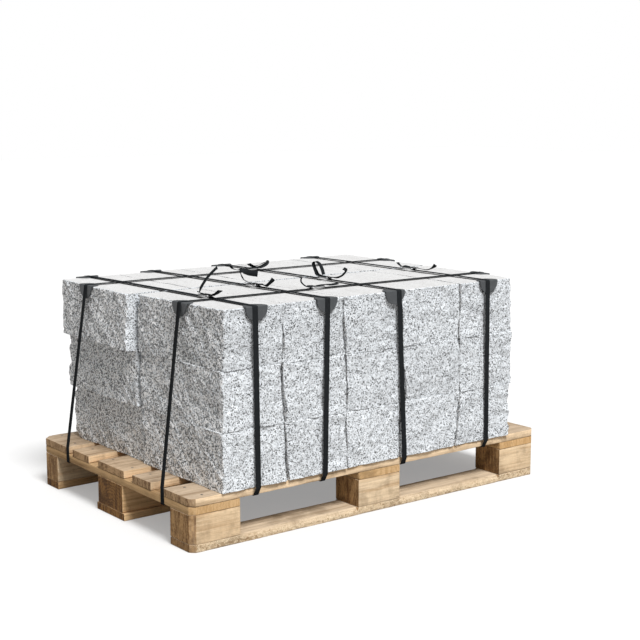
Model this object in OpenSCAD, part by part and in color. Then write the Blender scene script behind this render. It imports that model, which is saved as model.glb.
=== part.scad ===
// A pallet of granite kerbs: split-faced stones in three courses on a four-way
// wooden pallet, held by six straps over plastic edge protectors.
// The origin is the middle of the pallet on the floor, +X runs along its long side
// and -Y is the side that the stones stand out over.

/* [Pallet] */
// Length of the pallet, along its deck boards
pallet_l = 1200; // [1000:10:1440]
// Width of the pallet, along its stringer boards
pallet_w = 800; // [760:10:1000]
// Thickness of every board
board_t = 21; // [18:1:26]
// Height of the blocks
block_h = 75; // [65:1:95]
// Length of a block and width of a stringer board
block_l = 145; // [120:1:174]
// Width of the blocks and the bottom board along the front side
front_block_w = 100; // [83:1:120]
// Width of the blocks and the bottom board along the back side
back_block_w = 90; // [75:1:108]
// Width of the middle blocks
middle_block_w = 132; // [110:1:148]
// Width of the middle bottom board
middle_bottom_w = 148; // [132:1:178]
// Width of the deck board along the front side
front_board_w = 132; // [110:1:158]
// Width of the deck board along the back side
back_board_w = 152; // [126:1:182]
// Width of the middle deck board
middle_board_w = 140; // [116:1:168]
// Width of the two deck boards beside the middle one
inner_board_w = 94; // [78:1:113]
// Cut across the pallet's two upright corners at the front
front_corner_cut = 14; // [5:1:20]
// Cut across the pallet's two upright corners at the back
back_corner_cut = 20; // [5:1:26]
// Bevel along the bottom boards' upper edges, between the blocks
bottom_bevel = 10; // [4:1:14]

/* [Kerbs] */
// Length of a kerb, across the pallet
kerb_l = 381; // [317:1:458]
// Width of a kerb, along the pallet
kerb_w = 200; // [165:1:240]
// Height of a kerb, between its sawn faces
kerb_h = 153; // [127:1:184]
// Kerbs side by side along the pallet
columns = 5; // [2:1:5]
// Courses, one on another
courses = 3; // [1:1:3]
// Depth of the deepest hollow in a split face
split_depth = 6; // [2:0.5:8]
// Narrowest gap between two kerbs side by side
joint_gap = 1.5; // [1:0.5:4]
// Gap between the front row and the back row
row_gap = 9; // [8:0.5:15]
// From the pallet's left end to the stones
left_margin = 87; // [60:1:120]
// How far the stones stand out over the pallet's front side
front_overhang = 12; // [0:1:40]

/* [Straps] */
// Width of a strap
strap_w = 16; // [12:1:19]
// Thickness of a strap
strap_t = 0.9; // [0.7:0.1:1.2]
// Diameter of a buckle's wire
wire_d = 3.4; // [2.8:0.1:4]
// Length of a buckle
buckle_l = 46; // [38:1:56]
// Width of a buckle
buckle_w = 27; // [24:1:33]
// Width of an edge protector
protector_w = 65; // [54:1:78]
// Reach of each of an edge protector's two legs
protector_leg = 34; // [30:1:41]
// Straight part of each leg's sides, before its round end
protector_side = 6; // [3:1:9]
// Thickness of an edge protector
protector_t = 3; // [2.4:0.2:3.6]

/* [Hidden] */
deck_under = 2 * board_t + block_h;       // underside of the deck boards
deck_top = deck_under + board_t;
stringer_under = deck_under - board_t;
stack_top = deck_top + courses * kerb_h;
stack_left = -pallet_l / 2 + left_margin;
stack_right = stack_left + columns * kerb_w + (columns - 1) * joint_gap;
stack_front = -pallet_w / 2 - front_overhang;
stack_back = stack_front + 2 * kerb_l + row_gap;

// How far each end kerb stands out at its near end and at its far end, for each course from the
// bottom up. The first list is the front row's, the second is the back row's.
left_out = [[[4, 10], [0, 14], [-3, 24]], [[2, 10], [19, 25], [47, 41]]];
right_out = [[[-4, 1], [3, -5], [-2, 5]], [[2, -6], [-3, -8], [4, 0]]];
// How far the joint before each column lies from its even place at its near end, for each row and
// each course from the bottom up, first at the course's foot and then at its top
joint_drift = [
    [
        [[0, 0], [4, -11], [-7, -8], [-24, -22], [-21, -4], [0, 0]],
        [[0, 0], [-5, -17], [-8, -11], [-4, -20], [-4, -12], [0, 0]],
        [[0, 0], [-13, -5], [-12, -20], [-21, -24], [-12, -7], [0, 0]]
    ],
    [
        [[0, 0], [-26, -33], [-38, -30], [-24, -29], [-15, -22], [0, 0]],
        [[0, 0], [-41, -36], [-31, -35], [-33, -26], [-27, -21], [0, 0]],
        [[0, 0], [-38, -40], [-41, -38], [-39, -36], [-33, -30], [0, 0]]
    ]
];
// How much further over each joint lies at its far end, in the front row and in the back row
joint_skew = [[0, -30, -20, -14, -14, 0], [0, -16, -8, -6, -4, 0]];
// How much wider than the others each joint is, for each row and course
joint_room = [
    [[0, 5, 2, 3, 3, 0], [0, 4, 2, 3, 2, 0], [0, 0, 1, 2, 2, 0]],
    [[0, 2, 3, 1, 2, 0], [0, 2, 1, 2, 3, 0], [0, 1, 1, 2, 1, 0]]
];
// Steps that a kerb's faces are drawn in: along its width, its length and its height
steps_w = 4;
steps_l = 7;
steps_h = 3;

// The strap's middle plane lies this far off whatever it touches, and a little further where it
// turns over the pallet's edges at a slant
strap_clear = 0.1;
strap_off = strap_t / 2 + strap_clear;
turn_off = strap_t / 2 + 0.4;
strap_level = stack_top + protector_t + strap_off;       // long straps, over their protectors
cross_level = strap_level + strap_t + strap_clear;       // cross straps, over the long ones
fold_r = wire_d / 2 + strap_off;                         // middle plane, folded round a wire
past_strap = strap_w / 2 + 4;                            // from one strap's middle, past its edge
buckle_lift = 2.5;                                       // a buckle is pulled up off the stones
lift_run = buckle_l / 2 + 4;                             // a strap rises to its buckle from here on
bar_gap = 16;                                            // between a buckle's two inner bars
tail_steps = 4;                                          // stations for each stretch of a tail

STONE = [0.80, 0.81, 0.82];
TIMBER = [0.84, 0.73, 0.57];
BLACK = [0.15, 0.15, 0.16];
STEEL = [0.72, 0.73, 0.75];

course_names = ["lower", "middle", "upper"];
row_names = ["front", "back"];
function kerb_name(c, r, i) = str("kerb_", course_names[c], "_", row_names[r], "_", i + 1);

KERBS = [for (c = [0 : courses - 1], r = [0, 1], i = [0 : columns - 1]) kerb_name(c, r, i)];
BOARDS = [
    for (i = [1 : 5]) str("deck_board_", i),
    for (i = [1 : 3]) str("stringer_board_", i),
    for (i = [1 : 3]) str("bottom_board_", i)
];
BLOCKS = [for (i = [1 : 9]) str("block_", i)];
STRAPS = [for (i = [1 : 4]) str("cross_strap_", i), for (i = [1 : 2]) str("long_strap_", i)];
FITTINGS = ["front_edge_protectors", "back_edge_protectors", "end_edge_protectors", "wire_buckles"];

// ---------------------------------------------------------------- pallet

// The pallet seen from above, with its corners cut
module pallet_outline() {
    x = pallet_l / 2;
    y = pallet_w / 2;
    f = front_corner_cut;
    b = back_corner_cut;
    polygon([
        [-x + f, -y], [x - f, -y], [x, -y + f], [x, y - b],
        [x - b, y], [-x + b, y], [-x, y - b], [-x, -y + f]
    ]);
}

// A board or block of the pallet: its middle, its size along X and Y, its underside and its height
module timber(mid, size, z, h) {
    color(TIMBER)
        translate([0, 0, z])
            linear_extrude(h)
                intersection() {
                    pallet_outline();
                    translate(mid) square(size, center = true);
                }
}

// Blocks and the boards over and under them stand in three lines each way. The middle line along
// the pallet lies a little off the centre.
middle_line_shift = 6;
line_x = [-1, 0, 1] * (pallet_l - block_l) / 2;
line_y = [-(pallet_w - front_block_w) / 2, middle_line_shift, (pallet_w - back_block_w) / 2];
block_w = [front_block_w, middle_block_w, back_block_w];
bottom_w = [front_block_w, middle_bottom_w, back_block_w];

// The deck boards from the front side to the back side, and how the rest of the pallet's width is
// shared out among the four gaps between them
deck_w = [front_board_w, inner_board_w, middle_board_w, inner_board_w, back_board_w];
gap_share = [0.32, 0.23, 0.28, 0.17];
function sum(list, count) = count == 0 ? 0 : list[count - 1] + sum(list, count - 1);
deck_y = [
    for (i = [0 : 4])
        -pallet_w / 2 + sum(deck_w, i) + deck_w[i] / 2
        + (pallet_w - sum(deck_w, 5)) * sum(gap_share, i)
];

module deck_board(i) {
    timber([0, deck_y[i]], [pallet_l, deck_w[i]], deck_under, board_t);
}

module stringer_board(i) {
    timber([line_x[i], 0], [block_l, pallet_w], stringer_under, board_t);
}

module block(i, j) {
    timber([line_x[i], line_y[j]], [block_l, block_w[j]], board_t, block_h);
}

// A bottom board, bevelled between its blocks so that a truck's wheels ride over it
module bottom_board(j) {
    span = (pallet_l - 3 * block_l) / 2;
    difference() {
        timber([0, line_y[j]], [pallet_l, bottom_w[j]], 0, board_t);
        for (x = [-1, 1] * (block_l + span) / 2, side = [-1, 1])
            translate([x, line_y[j] + side * bottom_w[j] / 2, board_t])
                rotate([45, 0, 0])
                    cube([span, bottom_bevel * sqrt(2), bottom_bevel * sqrt(2)], center = true);
    }
}

// ---------------------------------------------------------------- kerbs

// A fixed number from 0 to 1 for each set of whole numbers
function chance(a, b, c = 0, d = 0) = rands(0, 1, 1, a * 7919 + b * 613 + c * 41 + d)[0];
function mix(a, b, t) = a + (b - a) * t;

// Depth of the split face at one of its points: mostly shallow, now and then a deep hollow
function hollow(face, u, k) = split_depth * pow(chance(face, u, k, 5), 1.6);

// Each face of each kerb has its own number
function face_id(c, r, i, side) = 40 + ((c * 2 + r) * 6 + i) * 4 + side;

// Where the joint before column i runs at point v of a kerb's length and level k.
// The split faces on its two sides follow the same waves.
function joint_x(c, r, i, v, k) =
    stack_left + i * (kerb_w + joint_gap) - joint_gap / 2
    + mix(joint_drift[r][c][i][0], joint_drift[r][c][i][1], k / steps_h)
    + joint_skew[r][i] * v / steps_l
    + split_depth * (chance(face_id(c, r, i, 0), v, k, 2) - 0.5);
// The joint opens where a chip has gone from its edges
function joint_open(c, r, i, v, k) =
    joint_gap + joint_room[r][c][i] + split_depth * pow(chance(face_id(c, r, i, 1), v, k, 3), 3);

// How far an end kerb stands out at a share of its length from its near end
function out_at(ends, share) = mix(ends[0], ends[1], share);

function left_x(c, r, i, v, k) = i == 0
    ? stack_left - out_at(left_out[r][c], v / steps_l) + hollow(face_id(c, r, 0, 0), v, k)
    : joint_x(c, r, i, v, k) + joint_open(c, r, i, v, k) / 2;
function right_x(c, r, i, v, k) = i == columns - 1
    ? stack_right + out_at(right_out[r][c], v / steps_l) - hollow(face_id(c, r, i, 1), v, k)
    : joint_x(c, r, i + 1, v, k) - joint_open(c, r, i + 1, v, k) / 2;
function near_y(c, r, i, u, k) = r == 0
    ? stack_front + hollow(face_id(c, r, i, 2), u, k)
    : stack_back - kerb_l + hollow(face_id(c, r, i, 2), u, k) / 2;
function far_y(c, r, i, u, k) = r == 0
    ? stack_front + kerb_l - hollow(face_id(c, r, i, 3), u, k) / 2
    : stack_back - hollow(face_id(c, r, i, 3), u, k);

// The steps round a kerb, from its left near corner, as [step along its width, step along its length]
OUTLINE = [
    for (u = [0 : steps_w - 1]) [u, 0],
    for (v = [0 : steps_l - 1]) [steps_w, v],
    for (u = [steps_w : -1 : 1]) [u, steps_l],
    for (v = [steps_l : -1 : 1]) [0, v]
];

function kerb_point(c, r, i, step, k) =
    let (u = step[0], v = step[1])
    [
        mix(left_x(c, r, i, v, k), right_x(c, r, i, v, k), u / steps_w),
        mix(near_y(c, r, i, u, k), far_y(c, r, i, u, k), v / steps_l),
        deck_top + c * kerb_h + kerb_h * k / steps_h
    ];

// A kerb: flat sawn faces below and above, four split faces between them
module kerb(c, r, i) {
    n = len(OUTLINE);
    rings = [for (k = [0 : steps_h], step = OUTLINE) kerb_point(c, r, i, step, k)];
    middle = [
        (left_x(c, r, i, 3, 1) + right_x(c, r, i, 3, 1)) / 2,
        (near_y(c, r, i, 2, 1) + far_y(c, r, i, 2, 1)) / 2
    ];
    z = deck_top + c * kerb_h;
    points = concat(rings, [[middle[0], middle[1], z], [middle[0], middle[1], z + kerb_h]]);
    bottom = n * (steps_h + 1);
    top = bottom + 1;
    color(STONE)
        polyhedron(points, [
            for (j = [0 : n - 1]) [j, (j + 1) % n, bottom],
            for (k = [0 : steps_h - 1], j = [0 : n - 1])
                let (a = k * n + j, b = k * n + (j + 1) % n)
                each leans_with(j, k)
                    ? [[a, a + n, b + n], [a, b + n, b]]
                    : [[a, a + n, b], [b, a + n, b + n]],
            for (j = [0 : n - 1]) [steps_h * n + (j + 1) % n, steps_h * n + j, top]
        ]);
}

// Which way a facet pair's shared edge leans. Two kerbs that face each other across a joint
// get the same answer for facing pairs, so that their faces never cross.
function leans_with(j, k) =
    let (
        from = OUTLINE[j][0] + OUTLINE[j][1],
        next = OUTLINE[(j + 1) % len(OUTLINE)],
        to = next[0] + next[1]
    )
    ((min(from, to) + k) % 2 == 0) == (to > from);

// ---------------------------------------------------------------- edge protectors

// One leg of an edge protector seen flat: straight sides from the edge, then a round end
module leg_outline() {
    rise = protector_leg - protector_side;
    round_r = (pow(protector_w / 2, 2) + rise * rise) / (2 * rise);
    spread = 2 * atan(2 * rise / protector_w);
    polygon([
        [-protector_w / 2, -protector_leg],
        [protector_w / 2, -protector_leg],
        for (s = [0 : 16])
            let (angle = mix(spread, -spread, s / 16))
            [round_r * sin(angle), protector_leg - round_r + round_r * cos(angle)]
    ]);
}

// Section of an edge protector across its edge, rounded outside
module angle_section() {
    past = protector_leg + 1;
    polygon([
        [0, -past], [0, 0], [past, 0], [past, protector_t],
        for (angle = [90 : 15 : 180]) protector_t * [cos(angle), sin(angle)],
        [-protector_t, -past]
    ]);
}

// An edge protector at the origin, for an edge along X with the stones behind and below it
module edge_protector() {
    past = protector_leg + 2;
    color(BLACK)
        intersection() {
            rotate([90, 0, 90]) linear_extrude(protector_w + 2, center = true) angle_section();
            linear_extrude(2 * past, center = true) leg_outline();
            rotate([90, 0, 0]) linear_extrude(2 * past, center = true) mirror([0, 1]) leg_outline();
        }
}

module front_edge_protectors() {
    for (i = [0 : 3])
        translate([cross_line[i][0] + front_protector_shift[i], stack_front, stack_top])
            edge_protector();
}

module back_edge_protectors() {
    for (i = [0 : 3])
        translate([cross_line[i][1], stack_back, stack_top])
            rotate(180) edge_protector();
}

module end_edge_protectors() {
    for (i = [0, 1]) {
        translate([long_faces[i][0], long_line[i][0] + left_protector_shift[i], stack_top])
            rotate(-90) edge_protector();
        translate([long_faces[i][1], long_line[i][1], stack_top]) rotate(90) edge_protector();
    }
}

// ---------------------------------------------------------------- straps

// Where the straps pass over the stones, as a share of the stack's length or depth,
// first at their front or left end and then at their back or right end
cross_share = [[0.096, 0.047], [0.3205, 0.2565], [0.56, 0.505], [0.886, 0.844]];
long_share = [[0.2195, 0.184], [0.777, 0.7365]];
// How far each strap has moved sideways on its way down to the deck, at the same two ends
cross_lean = [[8, 20], [-5, 0], [27, 87], [8, 0]];
long_lean = [[-23, 0], [56, 15]];
// How far some protectors lie off the middle of their straps
front_protector_shift = [6, 0, -12, 6];
left_protector_shift = [2, 4];
// Room between a strap under the deck and the blocks or stringer boards beside it
bay_room = 1.5;
// How far a strap's corners may lean in where it moves sideways on the deck's edge, at an end where
// the stones stand out over the deck and at any other
corner_room = [0.86, 0.2];

function along_stack(share) = mix(stack_left, stack_right, share);
function across_stack(share) = mix(stack_front, stack_back, share);

// Each strap's place at its front or left end and at its other end: on the stones, at the deck
// and under the deck, where it passes through one of the spaces between the timbers
cross_line = [for (i = [0 : 3]) [for (share = cross_share[i]) along_stack(share)]];
long_line = [for (i = [0, 1]) [for (share = long_share[i]) across_stack(share)]];
cross_down = [for (i = [0 : 3]) cross_line[i] + cross_lean[i]];
long_down = [for (i = [0, 1]) long_line[i] + long_lean[i]];
cross_bays = [for (j = [0, 1]) [line_x[j] + block_l / 2, line_x[j + 1] - block_l / 2]];
long_bays = [
    for (j = [0, 1]) [line_y[j] + block_w[j] / 2, line_y[j + 1] - block_w[j + 1] / 2]
];
function in_bay(place, bay) =
    let (room = strap_w / 2 + bay_room)
    min(max(place, bay[0] + room), bay[1] - room);
cross_under = [
    for (down = cross_down) [for (place = down) in_bay(place, cross_bays[down[0] < 0 ? 0 : 1])]
];
long_under = [for (i = [0, 1]) [for (place = long_down[i]) in_bay(place, long_bays[i])]];
function near(place, other, height, room) =
    let (shift = 4 * (height + turn_off) * room / strap_w)
    min(max(place, other - shift), other + shift);
cross_room = [
    for (face = [-stack_front, stack_back]) corner_room[face > pallet_w / 2 ? 0 : 1]
];
cross_foot = [
    for (i = [0 : 3])
        [for (e = [0, 1]) near(cross_down[i][e], cross_under[i][e], board_t, cross_room[e])]
];
long_foot = [
    for (i = [0, 1])
        [for (e = [0, 1]) near(long_down[i][e], long_under[i][e], 2 * board_t, corner_room[1])]
];

// The faces that the straps turn down over. A protector on an end kerb that stands askew
// touches it with one of its own two sides.
cross_faces = [stack_front, stack_back];
function reach_out(ends, r, place) =
    let (near = r == 0 ? stack_front : stack_back - kerb_l)
    max([for (side = [-1, 1]) out_at(ends, (place + side * protector_w / 2 - near) / kerb_l)]);
long_faces = [
    for (r = [0, 1]) [
        stack_left
        - reach_out(left_out[r][courses - 1], r, long_line[r][0] + left_protector_shift[r]),
        stack_right + reach_out(right_out[r][courses - 1], r, long_line[r][1])
    ]
];

// Where a cross strap runs over a place along the stack's depth, and a long strap along its length
function cross_x(i, y) =
    mix(cross_line[i][0], cross_line[i][1], (y - stack_front) / (stack_back - stack_front));
function long_y(i, x) =
    mix(long_line[i][0], long_line[i][1],
        (x - long_faces[i][0]) / (long_faces[i][1] - long_faces[i][0]));
// The middle of each buckle, along its strap, with some room to the strap that crosses it
function beside(room) = (buckle_l + strap_w) / 2 + room;
cross_buckle = [
    for (i = [0 : 3]) long_y(0, cross_line[i][0]) + beside([1, 101, 107, 133][i])
];
long_buckle = [
    cross_x(1, long_line[0][0]) + beside(70),
    cross_x(2, long_line[1][1]) - beside(6)
];

// The straps' loose tails. Each point is [away from the buckle's middle along the strap, sideways,
// up from the buckle's foot]. The strap's width, flat at the buckle, points the two ways given
// with each tail: halfway along it and at its tip.
EDGE_ON = [0.6, 0.78, -0.15];
front_tails = [
    [[33, 0, 6], [46, 2, 11], [60, 5, 20]],
    [[44, 0, 5], [59, 0, 5], [67, 3, 10], [73, 7, 17], [76, 12, 24]],
    [[37, 0, 5], [54, 2, 7], [71, 5, 14], [81, 8, 24], [86, 6, 31], [81, 2, 35]],
    [[45, 0, 4], [74, 0, 4], [90, 3, 8], [99, 6, 14], [103, 10, 21]]
];
front_turns = [
    [EDGE_ON, [0.95, 0.3, 0]],
    [EDGE_ON, [0.9, 0.4, 0]],
    [EDGE_ON, [0.75, 0.65, 0]],
    [EDGE_ON, [1, 0, 0]]
];
back_tails = [
    [[32, 0, 7], [26, 1, 17], [15, 7, 36], [8, 15, 50], [2, 25, 62], [-5, 33, 72]],
    [[34, -2, 8], [41, -5, 13], [47, -8, 23], [50, -7, 32], [47, 1, 34], [37, 12, 29], [20, 28, 26]],
    [[32, -3, 9], [34, -6, 17], [37, -9, 28], [40, -10, 39], [34, -5, 44], [24, 0, 37],
     [16, 2, 24], [11, 4, 8]],
    [[36, 0, 4], [44, -1, 7], [51, -3, 14]]
];
back_turns = [
    [[0.45, 0.9, -0.1], [0.45, 0.9, -0.1]],
    [EDGE_ON, [0, 0, 1]],
    [[0.95, 0.3, 0], [0.95, 0.3, 0]],
    [EDGE_ON, [0.9, 0.5, -0.1]]
];
left_tails = [
    [[31, 2, 5], [40, 5, 11], [46, 7, 20], [44, 7, 30]],
    [[34, 0, 2], [45, 2, 3], [58, 4, 8], [64, 5, 16]]
];
left_turns = [[EDGE_ON, EDGE_ON], [[0, 1, 0], [0, 1, 0]]];
right_tails = [
    [[40, -2, 4], [55, -4, 4], [69, -6, 6]],
    [[36, 0, 5], [50, 0, 8], [61, 1, 13], [66, 4, 18], [61, 7, 18], [46, 8, 12], [31, 8, 9],
     [17, 8, 9], [3, 8, 17]]
];
right_turns = [[[0, 1, 0.15], [0, 1, 0.1]], [[0, 1, 0], [0, 1, 0]]];

function unit(v) = v / norm(v);

// A smooth curve through the points, with some stations in each stretch and its last point left out
function smooth(points, steps) = [
    for (i = [0 : len(points) - 2], s = [0 : steps - 1])
        let (
            a = points[max(i - 1, 0)],
            b = points[i],
            c = points[i + 1],
            d = points[min(i + 2, len(points) - 1)],
            t = s / steps
        )
        (2 * b + (c - a) * t + (2 * a - 5 * b + 4 * c - d) * t * t
         + (3 * b - a - 3 * c + d) * t * t * t) / 2
];

// Stations of an arc in the strap's upright plane, at one place across it
function arc(middle, across, radius, from, to, steps) = [
    for (s = [0 : steps])
        let (angle = mix(from, to, s / steps))
        [middle[0] + radius * cos(angle), across, middle[1] + radius * sin(angle)]
];

// One end of a strap: from the deck's lower edge up to and round its edge protector. places holds
// where it lies on the stones, at the deck and under it. side is -1 for the front or left end and
// 1 for the other. Each station is [along, across, up].
function strap_end(side, face, places, reach, under) =
    let (
        out = side * turn_off,
        stands_out = side * face > reach,
        leg_end = stack_top - protector_leg - 2,
        lean = (leg_end - deck_top) / (stack_top - deck_top)
    )
    concat(
        [
            [side * (reach - 2 * strap_w), places[2], under - turn_off],
            [side * reach + out, places[2], under - turn_off]
        ],
        stands_out
            ? [
                [face + out, places[1], deck_top - turn_off],
                [face + side * protector_t + out, mix(places[1], places[0], lean), leg_end]
            ]
            : [[side * reach + out, places[1], deck_top]],
        arc([face, stack_top], places[0], protector_t + strap_off, 90 - 90 * side, 90, 4)
    );

// One tail, from its fold round the buckle's inner bar to its tip
function tail(side, buckle, level, points) =
    let (
        start = [
            [bar_gap / 2, 0, 2 * fold_r],
            [bar_gap / 2 + 6, 0, 2 * fold_r + 0.2],
            [buckle_l / 2 + wire_d, 0, 2 * fold_r + 0.8]
        ],
        route = concat(start, points)
    )
    concat(
        [for (p = smooth(route, tail_steps)) buckle + [side * p[0], p[1], level + p[2]]],
        [let (p = route[len(route) - 1]) buckle + [side * p[0], p[1], level + p[2]]]
    );

function backwards(list) = [for (i = [len(list) - 1 : -1 : 0]) list[i]];

// A whole strap as stations [along, across, up]: its front or left tail, a fold round one bar of the
// buckle, once round the load, a fold round the other bar, and its other tail
function strap_route(faces, line, foot, below, reach, under, buckle_at, level, rise, low_tail, high_tail) =
    let (
        at = function (a) mix(line[0], line[1], (a - faces[0]) / (faces[1] - faces[0])),
        middle = at(buckle_at),
        buckle = [buckle_at, middle, 0],
        low_bar = buckle_at - bar_gap / 2,
        high_bar = buckle_at + bar_gap / 2,
        buckle_foot = level + buckle_lift,
        bar_level = buckle_foot + fold_r
    )
    concat(
        backwards(tail(-1, buckle, buckle_foot, low_tail)),
        arc([low_bar, bar_level], middle, fold_r, 60, -90, 5),
        [for (a = concat(buckle_at - lift_run, rise[0])) [a, at(a), level]],
        backwards(strap_end(-1, faces[0], [line[0], foot[0], below[0]], reach, under)),
        strap_end(1, faces[1], [line[1], foot[1], below[1]], reach, under),
        [for (a = concat(rise[1], buckle_at + lift_run)) [a, at(a), level]],
        arc([high_bar, bar_level], middle, fold_r, 270, 120, 5),
        tail(1, buckle, buckle_foot, high_tail)
    );

// The way that a tail's width points at a share of its loose length
function ramp(share, from, to) = min(1, max(0, (share - from) / (to - from)));
function turned(share, turns) =
    mix(mix([0, 1, 0], turns[0], ramp(share, 0, 0.3)), turns[1], ramp(share, 0.4, 0.9));

// The share of a tail's loose length at one of its stations, counted from its tip
function loose_share(station, count) = 1 - station / (count - 1 - 2 * tail_steps);

// The way that the strap's width points at each station: across the strap, except along its tails
function strap_sides(count, low_count, high_count, low_turns, high_turns) = [
    for (i = [0 : count - 1])
        i < low_count
            ? turned(loose_share(i, low_count), low_turns)
            : i >= count - high_count
                ? turned(loose_share(count - 1 - i, high_count), high_turns)
                : [0, 1, 0]
];

// A flat ribbon along a path, with its width turned to the given sides
module ribbon(path, sides) {
    last = len(path) - 1;
    points = [
        for (i = [0 : last])
            let (
                before = unit(path[max(i, 1)] - path[max(i, 1) - 1]),
                after = unit(path[min(i, last - 1) + 1] - path[min(i, last - 1)]),
                along = unit(before + after),
                across = unit(sides[i] - (sides[i] * along) * along),
                half_w = across * strap_w / 2,
                half_t = cross(along, across) * strap_t / (norm(before + after))
            )
            each [
                path[i] - half_w - half_t,
                path[i] + half_w - half_t,
                path[i] + half_w + half_t,
                path[i] - half_w + half_t
            ]
    ];
    polyhedron(points, [
        [0, 1, 2, 3],
        for (i = [0 : last - 1], e = [0 : 3])
            let (a = 4 * i + e, b = 4 * i + (e + 1) % 4)
            each [[a, a + 4, b + 4], [a, b + 4, b]],
        [for (e = [3 : -1 : 0]) 4 * last + e]
    ]);
}

function tail_count(points) = (len(points) + 2) * tail_steps + 1;

// A cross strap runs along Y, so its stations swap their first two numbers
function swap(p) = [p[1], p[0], p[2]];

module cross_strap(i) {
    rise = [[long_y(0, cross_line[i][0]) - past_strap], [long_y(1, cross_line[i][1]) + past_strap]];
    path = strap_route(
        cross_faces, cross_line[i], cross_foot[i], cross_under[i], pallet_w / 2, deck_under,
        cross_buckle[i], cross_level, rise, front_tails[i], back_tails[i]
    );
    sides = strap_sides(
        len(path), tail_count(front_tails[i]), tail_count(back_tails[i]),
        [for (turn = front_turns[i]) swap(turn)], [for (turn = back_turns[i]) swap(turn)]
    );
    color(BLACK) ribbon([for (p = path) swap(p)], [for (s = sides) swap(s)]);
}

module long_strap(i) {
    path = strap_route(
        long_faces[i], long_line[i], long_foot[i], long_under[i], pallet_l / 2, stringer_under,
        long_buckle[i], strap_level, [[], []], left_tails[i], right_tails[i]
    );
    sides = strap_sides(
        len(path), tail_count(left_tails[i]), tail_count(right_tails[i]),
        left_turns[i], right_turns[i]
    );
    color(BLACK) ribbon(path, sides);
}

// ---------------------------------------------------------------- buckles

// A buckle bent from wire, lying flat with its length along X: a closed frame with two inner bars
module wire_buckle() {
    bend_r = 5;
    x = buckle_l / 2 - wire_d / 2;
    y = buckle_w / 2 - wire_d / 2;
    bar_d = wire_d - 0.2;
    for (side = [-1, 1]) {
        translate([0, side * y, 0])
            rotate([0, 90, 0])
                cylinder(d = wire_d, h = 2 * (x - bend_r), center = true, $fn = 24);
        translate([side * x, 0, 0])
            rotate([90, 0, 0])
                cylinder(d = wire_d, h = 2 * (y - bend_r), center = true, $fn = 24);
        translate([side * bar_gap / 2, 0, 0])
            rotate([90, 0, 0])
                cylinder(d = bar_d, h = 2 * y, center = true, $fn = 24);
    }
    for (turn = [0 : 3])
        translate([[1, -1, -1, 1][turn] * (x - bend_r), [1, 1, -1, -1][turn] * (y - bend_r), 0])
            rotate(90 * turn)
                rotate_extrude(angle = 90, $fn = 48)
                    translate([bend_r, 0]) circle(d = wire_d, $fn = 24);
}

module wire_buckles() {
    up = buckle_lift + fold_r;
    color(STEEL) {
        for (i = [0 : 3])
            translate([cross_x(i, cross_buckle[i]), cross_buckle[i], cross_level + up])
                rotate(90) wire_buckle();
        for (i = [0, 1])
            translate([long_buckle[i], long_y(i, long_buckle[i]), strap_level + up]) wire_buckle();
    }
}

// ---------------------------------------------------------------- the parts

for (i = [0 : 4]) deck_board(i);
for (i = [0 : 2]) stringer_board(i);
for (i = [0 : 2]) bottom_board(i);
for (i = [0 : 8]) block(i % 3, floor(i / 3));
for (c = [0 : courses - 1], r = [0, 1], i = [0 : columns - 1])
    kerb(c, r, i);
for (i = [0 : 3]) cross_strap(i);
for (i = [0, 1]) long_strap(i);
front_edge_protectors();
back_edge_protectors();
end_edge_protectors();
wire_buckles();
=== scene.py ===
"""Looks of a pallet of granite kerbs: split stones, rough timber, black straps, a pale floor."""

import math

import bpy
import numpy as np
from mathutils import Matrix, Vector

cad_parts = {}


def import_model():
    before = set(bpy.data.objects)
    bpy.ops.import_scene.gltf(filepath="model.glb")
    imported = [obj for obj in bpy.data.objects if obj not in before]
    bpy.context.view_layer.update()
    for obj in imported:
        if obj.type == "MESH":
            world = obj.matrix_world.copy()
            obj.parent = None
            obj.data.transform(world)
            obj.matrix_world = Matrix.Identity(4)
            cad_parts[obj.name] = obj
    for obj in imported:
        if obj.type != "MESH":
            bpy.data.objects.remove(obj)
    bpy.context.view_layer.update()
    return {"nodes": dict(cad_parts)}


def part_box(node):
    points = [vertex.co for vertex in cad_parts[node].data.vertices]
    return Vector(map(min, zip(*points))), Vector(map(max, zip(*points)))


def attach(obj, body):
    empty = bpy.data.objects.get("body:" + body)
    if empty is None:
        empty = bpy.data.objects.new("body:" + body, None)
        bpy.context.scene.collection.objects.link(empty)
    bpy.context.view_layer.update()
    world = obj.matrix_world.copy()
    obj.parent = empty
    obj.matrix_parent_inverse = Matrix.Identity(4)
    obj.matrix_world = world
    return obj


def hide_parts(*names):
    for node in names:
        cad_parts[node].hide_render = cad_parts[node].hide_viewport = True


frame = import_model()
MM = 0.001
# Points closer than this are at the same place
TOUCH = 0.1 * MM

# ---------------------------------------------------------------- names and sizes from the frame

KERBS = sorted(name for name in frame["nodes"] if name.startswith("kerb_"))
DECK = [f"deck_board_{i}" for i in range(1, 6)]
STRINGERS = [f"stringer_board_{i}" for i in range(1, 4)]
BOTTOM = [f"bottom_board_{i}" for i in range(1, 4)]
BLOCKS = [f"block_{i}" for i in range(1, 10)]
STRAPS = sorted(name for name in frame["nodes"] if "strap_" in name)
PROTECTORS = ["front_edge_protectors", "back_edge_protectors", "end_edge_protectors"]

# Half of the pallet's length and width
PALLET_HALF = np.array([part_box(DECK[0])[1][0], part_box(STRINGERS[0])[1][1]])
# Where the front row's blocks start and end along X
BLOCK_SPANS = [(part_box(name)[0][0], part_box(name)[1][0]) for name in BLOCKS[:3]]
STACK_TOP = max(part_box(name)[1][2] for name in KERBS)


def corner_cut(board, side):
    """How far the pallet's corners are cut back along X at a deck board's edge."""
    points = np.array([v.co for v in frame["nodes"][board].data.vertices])
    edge = points[abs(points[:, 1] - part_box(board)[side][1]) < TOUCH]
    return PALLET_HALF[0] - edge[:, 0].max()


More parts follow.
